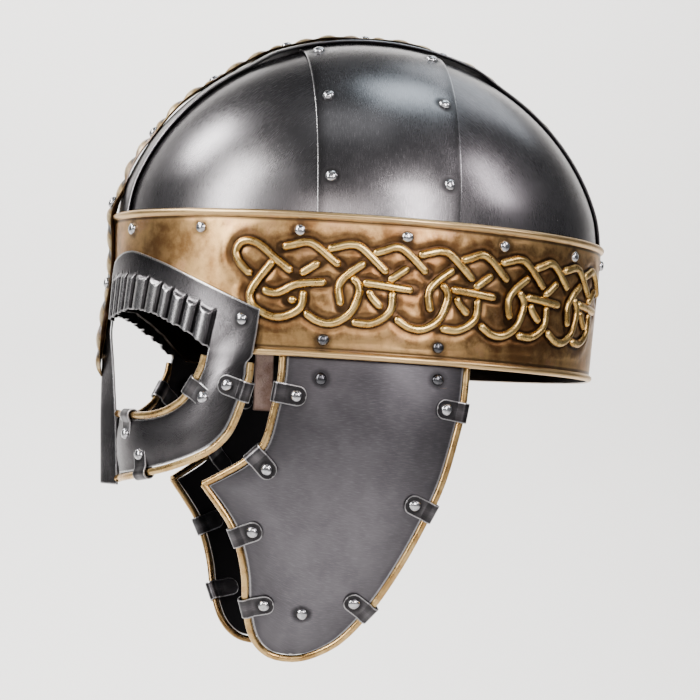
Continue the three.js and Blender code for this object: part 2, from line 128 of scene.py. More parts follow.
def blended(share, first, second):
    """One colour turning into another as share goes from 0 to 1."""
    first, second = (part if isinstance(part, Link) else (*part, 1) for part in (first, second))
    return Link.node("ShaderNodeMix", {"data_type": "RGBA"}, {"Factor": share, 6: first, 7: second}, out=2)


def new_material(name):
    """An empty material for one slot, and its Principled shader."""
    made = bpy.data.materials.new(name)
    made.use_nodes = True
    Link.tree = made.node_tree
    return made, made.node_tree.nodes["Principled BSDF"]


def feed(shader, name, value):
    Link.tree.links.new(value.socket, shader.inputs[name])


def noise(place, scale, detail=3.0, roughness=0.55):
    return Link.node("ShaderNodeTexNoise", {}, {
        "Vector": place, "Scale": scale, "Detail": detail, "Roughness": roughness})


def in_place():
    """Where a point of the piece is, in metres."""
    return Link.node("ShaderNodeTexCoord", out=3)


paper, shader = new_material("studio_paper")
feed(shader, "Base Color", blended(noise(in_place(), 6), (0.8, 0.79, 0.775), (0.83, 0.82, 0.81)))
shader.inputs["Roughness"].default_value = 0.9

FLOOR, FLOOR_END, WALL, WALL_TOP, SWEEP, HALF_WIDTH, CURVE_STEPS = -0.95, 6.0, -3.2, 4.0, 0.9, 5.0, 24
outline = [(FLOOR_END, FLOOR)]
for step in range(CURVE_STEPS + 1):
    turn = math.pi / 2 * step / CURVE_STEPS
    outline.append((WALL + SWEEP - SWEEP * math.sin(turn), FLOOR + SWEEP - SWEEP * math.cos(turn)))
outline.append((WALL, WALL_TOP))
mesh = bpy.data.meshes.new("floor")
mesh.from_pydata(
    [(x, side * HALF_WIDTH, z) for x, z in outline for side in (-1, 1)], [],
    [(2 * i, 2 * i + 1, 2 * i + 3, 2 * i + 2) for i in range(len(outline) - 1)])
mesh.shade_smooth()
mesh.materials.append(paper)
floor = bpy.data.objects.new("floor", mesh)
put_in_scene(floor)

world = bpy.data.worlds.new("studio")
world.use_nodes = True
ambient = world.node_tree.nodes["Background"].inputs
ambient["Color"].default_value, ambient["Strength"].default_value = (0.86, 0.88, 0.92, 1), 0.13
bpy.context.scene.world = world


def soft_box(name, place, size, radiance, colour, aim=AIM, spread=180):
    """A rectangular light; radiance is how bright its face looks, spread how wide it shines."""
    light = bpy.data.lights.new(name, "AREA")
    light.shape = "RECTANGLE"
    light.size, light.size_y = size
    light.energy = radiance * math.pi * size[0] * size[1]
    light.color = colour
    light.spread = math.radians(spread)
    made = bpy.data.objects.new(name, light)
    made.location = place
    made.rotation_euler = (aim - Vector(place)).to_track_quat("-Z", "Y").to_euler()
    put_in_scene(made)


soft_box("face_box", (0.72, -1.66, 0.66), (0.5, 1.5), 18, (1, 0.985, 0.96))
soft_box("brow_box", (-0.46, -1.36, 1.24), (0.46, 0.52), 24, (1, 0.99, 0.98))
soft_box("top_box", (0.62, -0.15, 1.65), (0.8, 0.6), 0.8, (0.95, 0.98, 1))
soft_box("side_box", (1.9, -0.5, 0.34), (1, 0.4), 6, (1, 0.92, 0.9))
soft_box("sky_box", (-0.12, 0.42, 1.7), (0.5, 0.65), 5, (0.78, 0.92, 1))
soft_box("shoulder_box", (1.62, 0.52, 0.5), (0.34, 1.1), 19, (1, 0.95, 0.95))
soft_box("rear_box", (0.75, 1.4, 1.05), (0.32, 0.8), 11, (1, 0.94, 0.97))
soft_box("far_box", (-0.93, 0.9, 1.39), (0.9, 0.8), 2, (0.86, 0.94, 1))
soft_box("wall_box", (-1.4, 0, 2.8), (3, 1.2), 16, (1, 0.99, 0.97), Vector((WALL, 0, 0)), 105)


# ---- Skull plates ----
# Four curved plates of 1.2 mm iron close the skull. Each is dished to the same dome and is
# riveted under the crest band and a side band; the surface is satin with a fine hand-rubbed grain.
SHEET, GAP = 0.0012, 0.0005
DOME = Sizes(half_length=0.1162, half_width=0.1004, height=0.1046, base=0.0477, centre=0.001)
TUCK = Sizes(length=0.013, width=0.01, low=0.058, high=0.08)   # how the rim draws in under the band
HEM = 0.0585                                # height of the plates' lower edge
SIDE_BAND = Sizes(front=-0.0349, back=0.0294)
UNDER_BAND, UNDER_CREST = 0.007, 0.012      # how far a plate goes under each band
PLATE_LINES = 61
CLEAR = 0.05                                # a distance that counts as far from any edge or rivet
stands_for = {}


def smooth(value, low, high):
    t = np.clip((value - low) / (high - low), 0, 1)
    return t * t * (3 - 2 * t)


def unit(vectors):
    return vectors / np.linalg.norm(vectors, axis=-1, keepdims=True)


def joined(*parts):
    """Points from their three coordinates, spread over one another."""
    return np.stack(np.broadcast_arrays(*parts), -1)


def on_dome(direction, lift=0.0):
    """A point over the dome in each direction from its centre."""
    shape = np.array([DOME.half_width, DOME.half_length, DOME.height])
    height = DOME.base + DOME.height * direction[..., 2]
    low = 1 - smooth(height, TUCK.low, TUCK.high)
    point = direction * shape
    point[..., 0] *= 1 - TUCK.width * low
    point[..., 1] *= 1 - TUCK.length * low
    point += np.array([0, DOME.centre, DOME.base + FOOT])
    return point + unit(direction / shape) * np.asarray(lift)[..., None]


def along_crest(x, angle):
    """Directions on the arc at a fixed x, from the crown to the front or the back."""
    fixed = x / DOME.half_width
    reach = np.sqrt(1 - fixed ** 2)
    return joined(fixed, reach * np.sin(angle), reach * np.cos(angle))


def along_side(y, angle):
    """Directions on the arc at a fixed y, from the crown down to the side."""
    fixed = (y - DOME.centre) / DOME.half_length
    reach = np.sqrt(1 - fixed ** 2)
    return joined(reach * np.sin(angle), fixed, reach * np.cos(angle))


def hem_angle(fixed):
    return np.arccos((HEM - DOME.base) / DOME.height / np.sqrt(1 - fixed ** 2))


def new_piece(name, points, faces, material, nodes):
    """Makes one piece of the helmet: its mesh, its material and what it stands for."""
    body = bpy.data.meshes.new(name)
    body.from_pydata(np.asarray(points, float).reshape(-1, 3).tolist(), [], faces)
    body.materials.append(material)
    body.shade_smooth()
    piece = bpy.data.objects.new(name, body)
    stands_for[name] = nodes
    put_in_scene(piece)
    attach(piece, "root")
    if nodes:
        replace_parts(piece, *nodes)
    return piece


def keep(piece, name, values):
    """Stores a number for each of the piece's points, for its material to read."""
    values = np.asarray(values, np.float32)
    kind = "FLOAT_VECTOR" if values.ndim == 2 else "FLOAT"
    field = "vector" if values.ndim == 2 else "value"
    piece.data.attributes.new(name, kind, "POINT").data.foreach_set(field, values.ravel())


MIDDLE = np.array([0, 0, FOOT + 0.03])     # a point well inside the helmet


def grid_normals(grid, inside_point):
    """The normals of a grid of points, turned away from a point in its hollow."""
    normals = unit(np.cross(np.gradient(grid, axis=1), np.gradient(grid, axis=0)))
    facing_away = (normals * (grid - inside_point)).sum(-1).mean()
    return normals if facing_away > 0 else -normals


def facing_out(points, faces):
    """The same four-sided faces, turned so that the closed body they make isn't inside out."""
    a, b, c, d = (points[np.asarray(faces)[:, k]] for k in range(4))
    volume = (a * (np.cross(b, c) + np.cross(c, d))).sum()
    return faces if volume > 0 else [face[::-1] for face in faces]


def run_along(points, axis=0):
    """The run along a line of points, or one way along a grid of them, from zero at the first."""
    gaps = np.linalg.norm(np.diff(points, axis=axis), axis=-1)
    pad = [(0, 0)] * gaps.ndim
    pad[axis] = (1, 0)
    return np.pad(np.cumsum(gaps, axis=axis), pad)


def sheet_piece(name, outer, thick, material, nodes, hollow=MIDDLE, round_edge=0.00035, heads=()):
    """A closed sheet with rounded edges under a grid of points on its outer face.

    It keeps the run both ways, the distance to its edge and to the nearest rivet head.
    """
    rows, columns = outer.shape[:2]
    inner = outer - grid_normals(outer, hollow) * thick
    index = np.arange(rows * columns).reshape(rows, columns)
    under = index + rows * columns
    faces = []

    def quads(a, b, c, d):
        faces.extend(np.stack([a.ravel(), b.ravel(), c.ravel(), d.ravel()], -1).tolist())

    quads(index[:-1, :-1], index[:-1, 1:], index[1:, 1:], index[1:, :-1])
    quads(under[:-1, :-1], under[1:, :-1], under[1:, 1:], under[:-1, 1:])
    quads(index[:-1, 0], index[1:, 0], under[1:, 0], under[:-1, 0])
    quads(index[1:, -1], index[:-1, -1], under[:-1, -1], under[1:, -1])
    quads(index[0, 1:], index[0, :-1], under[0, :-1], under[0, 1:])
    quads(index[-1, :-1], index[-1, 1:], under[-1, 1:], under[-1, :-1])
    points = np.concatenate([outer.reshape(-1, 3), inner.reshape(-1, 3)])
    piece = new_piece(name, points, facing_out(points, faces), material, nodes)
    down, right = run_along(outer), run_along(outer, 1)
    edge = np.minimum.reduce([down, down[-1:] - down, right, right[:, -1:] - right])
    keep(piece, "grain", np.concatenate([np.stack([down, right, 0 * down], -1).reshape(-1, 3)] * 2))
    keep(piece, "edge", np.tile(edge.ravel(), 2))
    mark_heads(piece, heads)
    keep(piece, "inside", np.repeat([0.0, 1.0], rows * columns))
    if round_edge:
        soften(piece, round_edge)
    return piece


def mark_heads(piece, heads):
    places = np.empty(len(piece.data.vertices) * 3)
    piece.data.vertices.foreach_get("co", places)
    places = places.reshape(-1, 3)
    nearest = np.full(len(places), CLEAR)
    for point, _ in heads:
        nearest = np.minimum(nearest, np.linalg.norm(places - np.array(point), axis=1))
    keep(piece, "head", nearest)


def soften(piece, width):
    """Rounds the sharp edges by a fraction of a millimetre and evens the shading of the faces."""
    bevel = piece.modifiers.new("round_edges", "BEVEL")
    bevel.width, bevel.segments = width, 2
    bevel.limit_method, bevel.angle_limit = "ANGLE", math.radians(50)
    piece.modifiers.new("even_faces", "WEIGHTED_NORMAL").keep_sharp = False


def mirror(piece):
    """The same piece on the wearer's right, with right in place of left in its names."""
    twin = piece.copy()
    twin.data = piece.data.copy()
    twin.name = twin.data.name = piece.name.replace("_left", "_right")
    work = bmesh.new()
    work.from_mesh(twin.data)
    bmesh.ops.scale(work, vec=(-1, 1, 1), verts=work.verts)
    bmesh.ops.reverse_faces(work, faces=work.faces)
    work.to_mesh(twin.data)
    work.free()
    put_in_scene(twin)
    if "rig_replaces" in twin:
        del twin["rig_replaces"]
    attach(twin, "root")
    if stands_for[piece.name]:
        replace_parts(twin, *(node.replace("_left", "_right") for node in stands_for[piece.name]))


def stored(name, out=2):
    """A value that the piece keeps for each of its points: out 2 gives a number, 1 a vector."""
    return Link.node("ShaderNodeAttribute", {"attribute_name": name}, out=out)


def shade_of(colour, share):
    return tuple(min(1, part * share) for part in colour)


def dress(shader, colour, roughness, height, strength, distance, metallic=1.0):
    """Joins a surface's colour, roughness and fine relief to its shader."""
    feed(shader, "Base Color", colour)
    shader.inputs["Metallic"].default_value = metallic
    feed(shader, "Roughness", roughness)
    feed(shader, "Normal", Link.node("ShaderNodeBump", {}, {
        "Strength": strength, "Distance": distance, "Height": height}))


def iron_finish(name, dark, light, bright, rough, worn_glint_width=0.0011, depth=0.07, shaded=0.006,
                fluted=False):
    """Satin iron: rubbed grain, cloudy tone, patina, painted shadow and shade, and worn edges with a painted
    glint.

    Two widths set the bright rim and the margin of painted shade behind it.
    """
    material, shader = new_material(name)
    brushed = noise(Link.node("ShaderNodeVectorMath", {"operation": "MULTIPLY"}, {
        0: stored("grain", 1), 1: (260, 2600, 1)}), 1.0, 4, 0.6)
    fine = noise(in_place(), 1400, 3, 0.7)
    cloud = noise(in_place(), 24, 4, 0.6)
    blotch = noise(in_place(), 95, 5, 0.65)
    tone = blended(ramped(cloud * 0.8 + blotch * 0.2, 0.3, 0.7), dark, light)
    tone = blended(ramped(brushed, 0.45, 0.72) * 0.35, tone, shade_of(light, 1.7))
    edge, inside = stored("edge"), stored("inside")
    # a ring of patina round each rivet head, darkened further by a painted shadow where the head meets the
    # sheet
    rivet_patina_and_shadow = ramped(stored("head") + (blotch - 0.5) * 0.003, 0.0056, 0.003)
    seam = ramped(edge + (blotch - 0.5) * 0.004, 0.0042, 0.0008)
    tone = blended(rivet_patina_and_shadow * 0.85, tone, shade_of(dark, 0.2))
    # painted shade: a darker margin along the inside of the edges
    painted_edge_shade = ramped(edge + (cloud - 0.5) * shaded * 0.6, shaded, shaded * 0.1)
    tone = blended(painted_edge_shade * 0.5, tone, shade_of(dark, 0.4))
    tone = blended(seam * 0.4, tone, shade_of(dark, 0.45))
    # painted light on the fluting: a painted highlight on the swells and painted shade in the creases
    if fluted:
        rise = stored("rise")
        tone = blended(ramped(rise, 0.15, 0.9) * 0.85, tone, shade_of(bright, 0.8))
        tone = blended(ramped(rise, -0.15, -0.75) * 0.9, tone, shade_of(dark, 0.15))
    # bright edges: wear, together with a painted glint along the rim
    worn_and_glinting_edge = ramped(edge + (fine - 0.5) * 0.0007, worn_glint_width, worn_glint_width * 0.25)
    tone = blended(worn_and_glinting_edge * 0.85, tone, bright)
    # the inner face is rougher raw iron, and its near-black tone is painted shade
    dress(shader, blended(inside, tone, shade_of(dark, 0.16)),
          rough + (cloud - 0.5) * 0.1 + (brushed - 0.5) * 0.07 + rivet_patina_and_shadow * 0.12 + inside * 0.3,
          brushed * 0.8 + fine * 0.25 + blotch * 0.25, depth, 0.00025)
    return material


skull_iron = iron_finish("skull_iron", (0.15, 0.143, 0.148), (0.225, 0.214, 0.222),
                         (0.72, 0.7, 0.7), 0.275)


def skull_plate(facing):
    """The outer face of a plate, rows from the crown to the hem and columns from crest to side."""
    y = SIDE_BAND.front + UNDER_BAND if facing < 0 else SIDE_BAND.back - UNDER_BAND
    fixed_x = UNDER_CREST / DOME.half_width
    fixed_y = (y - DOME.centre) / DOME.half_length
    corner = math.sqrt(1 - fixed_x ** 2 - fixed_y ** 2)
    run = np.linspace(0, 1, PLATE_LINES)
    crest = along_crest(UNDER_CREST, facing * (
        math.atan2(abs(fixed_y), corner) * (1 - run) + hem_angle(fixed_x) * run))
    side = along_side(y, math.atan2(fixed_x, corner) * (1 - run) + hem_angle(fixed_y) * run)
    span = np.arccos(np.clip((crest * side).sum(-1), -1, 1))[:, None]
    share = np.linspace(0, 1, PLATE_LINES)

    def weight(part):
        return np.where(span < 1e-4, part, np.sin(part * span) / np.maximum(np.sin(span), 1e-9))[..., None]

    return on_dome(unit(weight(1 - share) * crest[:, None] + weight(share) * side[:, None]))


for facing, word in ((-1, "front"), (1, "back")):
    grid = skull_plate(facing)[1:]           # the first row is a single point under the crossing
    mirror(sheet_piece(f"skull_plate_{word}_left", grid, SHEET, skull_iron, [f"dome_plate_{word}_left"]))


# ---- Rivets ----
# Short steel rivets with domed heads, set by hand, so that no two heads are quite alike. All of
# the heads on one part are one piece; their shanks go through the sheets and aren't seen.
HEAD_RADIUS, HEAD_HEIGHT, HEAD_SUNK = 0.0027, 0.002, 0.0006
HEAD_SIDES, HEAD_RINGS = 20, 7

steel, shader = new_material("rivet_steel")
dents = noise(in_place(), 620, 2, 0.5)
specks = noise(in_place(), 2600, 2, 0.6)
dress(shader, blended(ramped(dents, 0.35, 0.65), (0.52, 0.52, 0.54), (0.76, 0.76, 0.78)),
      0.15 + dents * 0.12, dents + specks * 0.12, 0.16, 0.0003)
blackened = iron_finish("blackened_rivet", (0.075, 0.076, 0.084), (0.15, 0.152, 0.165),
                        (0.34, 0.34, 0.36), 0.26)
chance = random.Random(11)


def rivet_heads(name, heads, material=steel):
    """Domed heads at points along their normals."""
    points, faces = [], []
    for point, normal in heads:
        first = len(points)
        turn = Vector((0, 0, 1)).rotation_difference(Vector(normal))
        squash = 1 + chance.uniform(-0.06, 0.06)
        spin = chance.uniform(0, math.tau)
        high = HEAD_HEIGHT * (1 - chance.uniform(0.0, 0.1))
        profile = [(HEAD_RADIUS * 0.96, -HEAD_SUNK)]
        for ring in range(HEAD_RINGS):
            lean = math.pi / 2 * ring / HEAD_RINGS
            profile.append((HEAD_RADIUS * math.cos(lean) ** 0.8, high * math.sin(lean)))
        for radius, height in profile:
            for side in range(HEAD_SIDES):
                angle = spin + math.tau * side / HEAD_SIDES
                wobble = 1 + 0.025 * math.sin(3 * angle + spin) * (height > 0)
                place = turn @ Vector((radius * squash * wobble * math.cos(angle),
                                       radius / squash * wobble * math.sin(angle), height))
                points.append(Vector(point) + place)
        top, bottom = len(points), len(points) + 1
        points.extend(Vector(point) + turn @ Vector((0, 0, height)) for height in (high, -HEAD_SUNK))
        last = first + HEAD_RINGS * HEAD_SIDES
        for side in range(HEAD_SIDES):
            after = (side + 1) % HEAD_SIDES
            faces.append((first + after, first + side, bottom))
            faces.append((last + side, last + after, top))
            for row in range(first, last, HEAD_SIDES):
                faces.append((row + side, row + after, row + HEAD_SIDES + after, row + HEAD_SIDES + side))
    piece = new_piece(name, [tuple(point) for point in points], faces, material, ())
    for distance in ("edge", "head"):
        keep(piece, distance, np.full(len(points), CLEAR))
    return piece


# ---- Side bands ----
# A band of the same iron runs down each side from under the crest band to under the brow band.
# It covers the plates' joint and is riveted to each plate with three rivets.
BAND_LIFT = GAP + SHEET
RIVET_INSET, RIVET_HEIGHTS = 0.006, (0.08, 0.118, 0.143)
side_rivets = []
for y in (SIDE_BAND.front + RIVET_INSET, SIDE_BAND.back - RIVET_INSET):
    for height in RIVET_HEIGHTS:
        fixed = (y - DOME.centre) / DOME.half_length
        down = along_side(y, math.acos((height - DOME.base) / DOME.height / math.sqrt(1 - fixed ** 2)))
        seat = on_dome(down, BAND_LIFT)
        side_rivets.append((seat, unit(seat - on_dome(down))))

run = np.linspace(0, 1, 81)[:, None]
place_y = np.linspace(SIDE_BAND.front, SIDE_BAND.back, 41)
fixed = (place_y - DOME.centre) / DOME.half_length
start = np.arcsin(UNDER_CREST / DOME.half_width / np.sqrt(1 - fixed ** 2))
angle = start * (1 - run) + hem_angle(fixed) * run
grid = on_dome(along_side(place_y, angle), BAND_LIFT)
band_iron = iron_finish("side_band_iron", (0.16, 0.153, 0.158), (0.24, 0.228, 0.236),
                        (0.52, 0.51, 0.52), 0.27, worn_glint_width=0.0009)
mirror(sheet_piece("side_band_left", grid, SHEET, band_iron, ["lateral_band_left"], heads=side_rivets))
mirror(rivet_heads("side_band_rivets_left", side_rivets))


# ---- Crest band ----
# A wider iron band over the top from front to back. Both long edges are turned up into a narrow
# bright lip, and it rises a little where it crosses the side bands.
CREST = Sizes(half=0.021, lift=0.0023, over_side=0.045, on_plates=0.062)
LIP_WIDTH, LIP_RISE = 0.0012, 0.0004


def crest_lift(direction):
    away = np.abs(DOME.half_length * direction[..., 1])
    share = smooth(away, CREST.over_side, CREST.on_plates)
    return CREST.lift * (1 - share) + GAP * share


half_columns = CREST.half - np.array(
    [0, 0.0004, 0.0009, 0.0014, 0.0019, 0.0024, 0.0036, 0.006, 0.01, 0.015])   # closer at the lip
columns = np.concatenate([-half_columns, [0], half_columns[::-1]])
reach = hem_angle(columns / DOME.half_width)
angle = np.linspace(-1, 1, 161)[:, None] * reach
direction = along_crest(columns, angle)
lip = LIP_RISE * np.sin(np.pi * np.clip((CREST.half - np.abs(columns)) / LIP_WIDTH, 0, 1)) ** 0.7
grid = on_dome(direction, crest_lift(direction) + SHEET + lip)
crest_iron = iron_finish("crest_iron", (0.088, 0.083, 0.09), (0.14, 0.133, 0.143),
                         (0.4, 0.39, 0.4), 0.31, worn_glint_width=0.0006)
sheet_piece("crest_band_sheet", grid, SHEET, crest_iron, ["crest_band"])


# ---- Rope strip ----
# A brass strip stamped with a twisted rope runs from a pointed free tip before the nose up over
# the crest to the back. It is riveted every 38 mm and bows up between the rivets.
ROPE = Sizes(half=0.0075, base=-0.00015, height=0.0025, sheet=0.0005, turned_back=0.0018,
             tip=0.016, tip_half=0.001, first=0.044, pitch=0.0384, twist=0.0118, slant=0.3,
             border=0.26, room=0.0007, bow=0.0007)
ROPE_TOP, ROPE_END, ROWS = 0.076, 0.067, 720       # where it reaches the skull in front and ends behind


def spline(points, count):
    """Evenly spaced points on a smooth line through the given ones."""
    points = np.asarray(points, float)
    ends = np.vstack([2 * points[0] - points[1], points, 2 * points[-1] - points[-2]])
    fine = []
    for a, b, c, d in zip(ends, ends[1:], ends[2:], ends[3:]):
        t = np.linspace(0, 1, 24, endpoint=False)[:, None]
        fine.append(0.5 * (2 * b + (c - a) * t + (2 * a - 5 * b + 4 * c - d) * t ** 2
                           + (3 * b - a - 3 * c + d) * t ** 3))
    fine = np.vstack([*fine, points[-1:]])
    run = run_along(fine)
    at = np.linspace(0, run[-1], count) if np.isscalar(count) else np.asarray(count)
    return np.stack([np.interp(at, run, fine[:, k]) for k in range(fine.shape[1])], -1)


def length_of(line):
    return run_along(line)[-1]


front = [(-0.1176, -0.012), (-0.1192, -0.003), (-0.1192, 0.009), (-0.1182, 0.02), (-0.117, 0.03),
         (-0.1168, 0.042), (-0.1175, 0.054), (-0.1184, 0.062), (-0.1171, 0.069)]
first_angle, last_angle = (math.acos((z - DOME.base) / DOME.height) for z in (ROPE_TOP, ROPE_END))
directions = along_crest(0.0, np.linspace(-first_angle, last_angle, 25))
arc = on_dome(directions, crest_lift(directions) + SHEET + ROPE.room)
rope_line = np.vstack([[(0, y, z + FOOT) for y, z in front], arc])
rope_length = length_of(spline(rope_line, 900))
middle = spline(rope_line, ROWS)
tangent = unit(np.gradient(middle, axis=0))
outward = np.cross(np.array([1.0, 0, 0]), tangent)
outward *= np.sign((outward * (middle - MIDDLE)).sum(-1, keepdims=True))
run = np.linspace(0, rope_length, ROWS)
on_skull = smooth(middle[:, 2] - FOOT, 0.066, 0.08)
bow = np.sin(np.pi * (run - ROPE.first) / ROPE.pitch) ** 2 * (run > ROPE.first) * on_skull
share = np.array([-1, -0.965, -0.925, -0.885, -0.85, -0.8, -0.7, -0.55, -0.4, -0.25, -0.1, 0.05, 0.2, 0.35,
                  0.5, 0.65, 0.78, 0.85, 0.885, 0.925, 0.965, 1])
half = np.interp(run, [0, ROPE.tip], [ROPE.tip_half, ROPE.half])
sideways = half[:, None] * share
lay = run[:, None] / ROPE.twist + ROPE.slant * sideways / ROPE.half
strand = np.abs(np.sin(np.pi * lay)) ** 0.8
crown = np.clip(1 - (share / 0.86) ** 2, 0, 1) ** 0.8
border = np.exp(-((np.abs(share) - 0.93) / 0.045) ** 2)
from_rivet = (run - ROPE.first + ROPE.pitch / 2) % ROPE.pitch - ROPE.pitch / 2
near_rivet = (np.exp(-from_rivet ** 2 / 0.003 ** 2) * (run > ROPE.first - 0.01))[:, None]
relief = ROPE.height * (crown * (0.12 + 0.88 * strand) * (1 - 0.75 * near_rivet) + ROPE.border * border)
relief *= (0.8 + 0.2 * on_skull)[:, None]
lift = ROPE.base - 0.00034 * (1 - on_skull) + ROPE.bow * (bow - 0.3) * on_skull
grid = middle[:, None] + outward[:, None] * (lift[:, None] + relief)[..., None]
grid[..., 0] += sideways
rope_brass, shader = new_material("rope_brass")
grime = noise(in_place(), 160, 5, 0.65)
painted_relief_light = stored("rise") + (grime - 0.5) * 0.25
# painted light: the rope's grooves painted dark as shade, its crowns and borders given a painted highlight
tone = blended(ramped(painted_relief_light, 0.45, 0.8), (0.03, 0.018, 0.01), (0.46, 0.31, 0.135))
tone = blended(ramped(painted_relief_light, 0.82, 1.0), tone, (0.8, 0.64, 0.38))
tone = blended(ramped(noise(in_place(), 55, 3), 0.52, 0.72) * 0.5, tone, (0.52, 0.4, 0.36))
dress(shader, tone, 0.3 + grime * 0.22, grime, 0.35, 0.0003)
depth = ROPE.sheet + ROPE.turned_back * (1 - on_skull) * smooth(run, 0.002, 0.02)
piece = sheet_piece("rope_strip", grid, depth[:, None, None], rope_brass, ["crest_rope_strip"],
                    round_edge=0.0002)
# the painted light kept as rise: crowns and borders lit, grooves and the flats at the rivets in painted shade
shade = np.where(crown > 0.02, strand * (1 - 0.6 * near_rivet), 0.8 * border)
keep(piece, "rise", np.concatenate([shade.ravel(), np.full(shade.size, 0.62)]))
crest_rivets = []
for at in np.arange(ROPE.first, rope_length, ROPE.pitch):
    row = int(round(at / rope_length * (ROWS - 1)))
    crest_rivets.append((middle[row] + outward[row] * (lift[row] + ROPE.height * 0.3), outward[row]))
rivet_heads("rope_rivets", crest_rivets)


# ---- Brow band ----
# One strip of brass sheet is closed into an oval and goes round outside the skull. Both edges are
# rolled into a bead, and in front the strip is cut away over the eyes behind the face guard.
CENTRE_Y, WIDTH_RATIO = 0.0005, 0.87
BROW = Sizes(height=0.064, foot=0.1142, head=0.1168, sheet=0.0013, bead=0.0013, bead_high=0.0032)
EYE_ARCH = ((0, 0.02), (0.058, 0.021), (0.073, 0.0165), (0.084, 0.0115), (0.094, 0.0045), (0.101, 0))
EYE_RADIUS = 0.111


def on_band(angle, height, lift=0.0):
    a = BROW.foot + (BROW.head - BROW.foot) * height / BROW.height
    return joined((a * WIDTH_RATIO + lift) * np.sin(angle), CENTRE_Y - (a + lift) * np.cos(angle),
                  height + FOOT)


turn = np.linspace(0, math.pi, 1601)
band_run = run_along(on_band(turn, BROW.height / 2))


def band_seat(distance, height, side):
    """Points on the band's face, at a run round it from the front, and its outward normals."""
    angle = side * np.interp(distance, band_run, turn)
    seat = on_band(angle, height)
    return seat, unit(on_band(angle, height, 0.001) - seat)


upper_rivets = [band_seat(0.033 + 0.0471 * k, 0.0555, side) for k in range(7) for side in (-1, 1)]
lower_rivets = [band_seat(distance, 0.008, side) for distance in (0.14, 0.192) for side in (-1, 1)]


# ---- Interlace ----
# A running knot is chased up out of the brow band from behind. It shows as round rods 4 mm wide
# with a painted shadow line along each side; it starts behind each eyebrow and runs round to the back.
STROKE_HALF = STROKE_RISE = 0.002


def in_mm(pairs):
    return np.array(pairs, float) * 0.001


REPEAT, REPEATS = 40.1, 4
opening = [
    [(106.4, 34.7), (100.9, 39.6), (98.4, 44.2), (100, 48.6), (104.4, 50), (109.8, 48.2), (117, 42.6),
     (125, 36.8)],
    [(116.3, 42.2), (107.3, 30), (106, 24.6), (108.7, 20.4), (116.8, 17), (124, 18), (129.4, 22.2),
     (130.2, 29.6)],
    [(111.4, 29.4), (114.6, 27.7), (119.5, 27.9), (127.4, 31.8), (140.2, 33.4)],
    [(123.2, 24.4), (127.4, 25.2)],
    [(128, 35.9), (136.9, 42.2)],
    [(119.4, 47.6), (124.6, 48.9), (130.4, 50.3), (135, 48.8), (145.8, 40.5)],
]
repeated = [
    [(139.4, 47.6), (144.4, 49.1), (150.2, 50.4), (155.4, 48.6), (166.8, 38.5)],
    [(156.8, 43.2), (148.7, 36.8), (145.5, 31.3), (147, 22.9)],
    [(150.6, 36.4), (153.9, 33.2), (154.4, 28.3), (151, 20.2), (144.1, 15.7), (137.4, 16), (130.6, 19.9)],
    [(166.9, 35.3), (176.1, 42.4)],
    [(155.4, 34.2), (178.9, 32.2)],
    [(158.2, 31.4), (160.6, 27.6), (165.3, 23.2)],
    [(169.4, 31.4), (168.6, 22.1), (160.9, 16.5), (151.6, 16.6)],
    [(159.3, 46.9), (164.2, 48.6), (170, 50.6), (175, 48.4), (184.7, 39.8)],
]
strokes = opening + [[(s + REPEAT * k, z) for s, z in stroke] for k in range(REPEATS) for stroke in repeated]
lines = [spline(stroke, max(5, int(length_of(stroke) / 0.0009))) for stroke in map(in_mm, strokes)]


def stroke_distance(distance, height):
    """How far points of the unrolled band are from the nearest stroke's middle line."""
    nearest = np.full(np.shape(distance), CLEAR)
    for line in lines:
        (left, low), (right, high) = line.min(0) - 0.008, line.max(0) + 0.008
        close = (distance > left) & (distance < right) & (height > low) & (height < high)
        if close.any():
            gaps = np.hypot(distance[close][:, None] - line[:, 0], height[close][:, None] - line[:, 1]).min(1)
            nearest[close] = np.minimum(nearest[close], gaps)
    return nearest


# aged brass: gold where it is rubbed, copper and brown patches, dark patina round the strokes, painted shadow
# at their feet and round the rivets, and painted shade inside
band_brass, shader = new_material("band_brass")
place = in_place()
patch, copper, blotch = noise(place, 22, 4, 0.6), noise(place, 46, 4, 0.6), noise(place, 170, 5, 0.68)
fine = noise(place, 1200, 3, 0.65)
tone = blended(ramped(patch * 0.7 + blotch * 0.3, 0.4, 0.6), (0.29, 0.146, 0.055), (0.735, 0.45, 0.185))
tone = blended(ramped(copper * 0.75 + blotch * 0.25, 0.53, 0.66) * 0.55, tone, (0.61, 0.3, 0.16))
tone = blended(ramped(blotch, 0.58, 0.74) * 0.45, tone, (0.22, 0.11, 0.045))
tone = blended(ramped(fine * 0.5 + copper * 0.5, 0.56, 0.7) * 0.35, tone, (0.72, 0.58, 0.42))
stroke, bead, uneven = stored("stroke"), stored("bead"), blotch - 0.5
tone = blended(ramped(stroke + uneven * 0.012, 0.0095, 0.003) * 0.72, tone, (0.165, 0.074, 0.028))
# painted shadow: a dark line along the foot of each stroke
tone = blended(ramped(stroke + uneven * 0.0012, 0.0036, 0.0023) * 0.85, tone, (0.045, 0.025, 0.014))
# a ring of patina round each rivet head, darkened further by a painted shadow
tone = blended(ramped(stored("head") + uneven * 0.003, 0.0058, 0.0027) * 0.7, tone, (0.06, 0.035, 0.02))
# darker in the groove beside each bead
tone = blended(ramped(bead, 0.15, 0.75) * 0.8, tone, (0.07, 0.042, 0.022))
tone = blended(ramped(bead, -0.15, -0.75) * 0.7, tone, (0.8, 0.56, 0.27))
# painted shade: the inner face and the band's face behind the eye guards are near black
dress(shader, blended(stored("inside"), tone, (0.02, 0.014, 0.01)),
      0.19 + patch * 0.12 + blotch * 0.14 + fine * 0.05,
      patch * 1.2 + blotch * 0.45 + fine * 0.08, 0.3, 0.0004)

